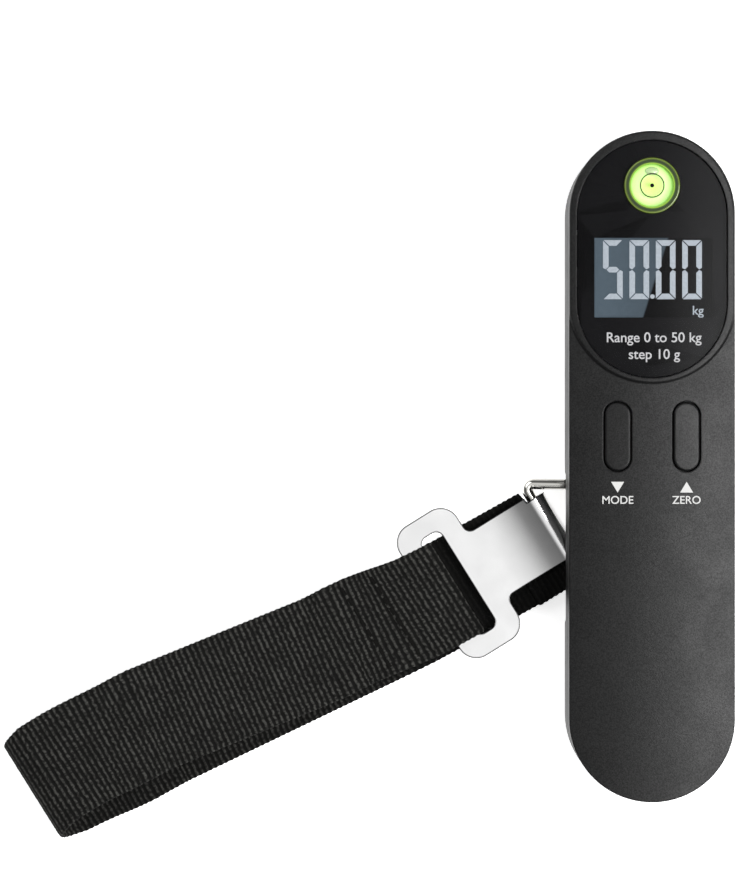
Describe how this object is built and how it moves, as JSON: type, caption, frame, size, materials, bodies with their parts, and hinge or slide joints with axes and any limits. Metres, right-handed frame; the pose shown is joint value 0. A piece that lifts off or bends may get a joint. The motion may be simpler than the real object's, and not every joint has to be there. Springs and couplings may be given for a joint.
{
  "type": "digital luggage scale",
  "caption": "Pocket digital luggage scale with round-ended body, glossy display window, bubble level, two buttons, wire ring and webbing hand strap with hook buckle.",
  "frame": {"origin": "middle of the housing in plan, on the flat of its back, which is the plane it lies on", "axes": "+Z out of the display face, +Y towards the display end, +X to the right seen from the display side; the strap leaves to the left and down"},
  "size_m": [0.1657, 0.1594, 0.024],
  "materials": {
    "housing_plastic": "fine matte texture",
    "button_plastic": "fine matte texture",
    "screw_steel": "zinc plated",
    "smoked_lens": "polished, smoked",
    "mask_ink": "printed ink",
    "lcd_glass": "smooth",
    "lcd_segment": "lit",
    "light_guide": "frosted",
    "frame_plastic": "moulded",
    "level_acrylic": "clear",
    "level_liquid": "tinted liquid",
    "bubble_air": "clear",
    "switch_steel": "stamped",
    "white_print": "pad printed",
    "board_green": "solder mask",
    "chip_epoxy": "moulded epoxy",
    "cell_aluminium": "milled",
    "gauge_film": "polyimide film",
    "eye_steel": "turned",
    "coin_steel": "stainless",
    "contact_metal": "nickel plated spring strip",
    "wire_red": "insulation",
    "wire_black": "insulation",
    "ring_chrome": "polished nickel",
    "plate_chrome": "polished",
    "webbing": "ribbed nylon weave",
    "thread": "bonded nylon thread"
  },
  "bodies": {
    "housing": {"back_housing": "housing_plastic", "front_housing": "housing_plastic", "housing_screws": "screw_steel", "display_lens": "smoked_lens", "lens_mask": "mask_ink", "lcd_glass": "lcd_glass", "lcd_segments": "lcd_segment", "lcd_backlight": "light_guide", "lcd_frame": "frame_plastic", "level_cup": "level_acrylic", "level_liquid": "level_liquid", "level_bubble": "bubble_air", "level_cap": "level_acrylic", "level_target": "mask_ink", "switch_cases": "switch_steel", "mark_down": "white_print", "mark_up": "white_print", "circuit_board": "board_green", "board_components": "chip_epoxy", "load_cell": "cell_aluminium", "strain_gauges": "gauge_film", "load_cell_screws": "screw_steel", "load_eye": "eye_steel", "eye_washer": "screw_steel", "eye_nut": "screw_steel", "coin_cell": "coin_steel", "contact_negative": "contact_metal", "contact_positive": "contact_metal", "battery_wire_red": "wire_red", "battery_wire_black": "wire_black", "load_cell_wires": "wire_black"},
    "unit_key": {"button_unit": "button_plastic", "plunger_unit": "frame_plastic"},
    "on_key": {"button_on": "button_plastic", "plunger_on": "frame_plastic"},
    "battery_cover": {"battery_door": "housing_plastic"},
    "triangle_ring": {"ring": "ring_chrome"},
    "hand_strap": {"hook_plate": "plate_chrome", "strap_webbing": "webbing", "strap_stitching": "thread"}
  },
  "joints": [
    {"name": "unit_button_press", "type": "slide", "parent": "housing", "child": "unit_key", "axis": [0, 0, -1], "range_m": [0, 0.0005], "stiffness_N_per_m": 1500},
    {"name": "on_button_press", "type": "slide", "parent": "housing", "child": "on_key", "axis": [0, 0, -1], "range_m": [0, 0.0005], "stiffness_N_per_m": 1500},
    {"name": "battery_door_twist", "type": "hinge", "parent": "housing", "child": "battery_cover", "pos_m": [0, -0.0515, 0.0015], "axis": [0, 0, 1], "range_deg": [0, 45]},
    {"name": "ring_swing", "type": "hinge", "parent": "housing", "child": "triangle_ring", "pos_m": [0, -0.006, 0.0036], "axis": [0.5299, -0.848, 0], "range_deg": [0, 90]},
    {"name": "strap_swing", "type": "hinge", "parent": "triangle_ring", "child": "hand_strap", "pos_m": [-0.01934, -0.01808, 0.0036], "axis": [0.5299, -0.848, 0], "range_deg": [0, 90]}
  ]
}
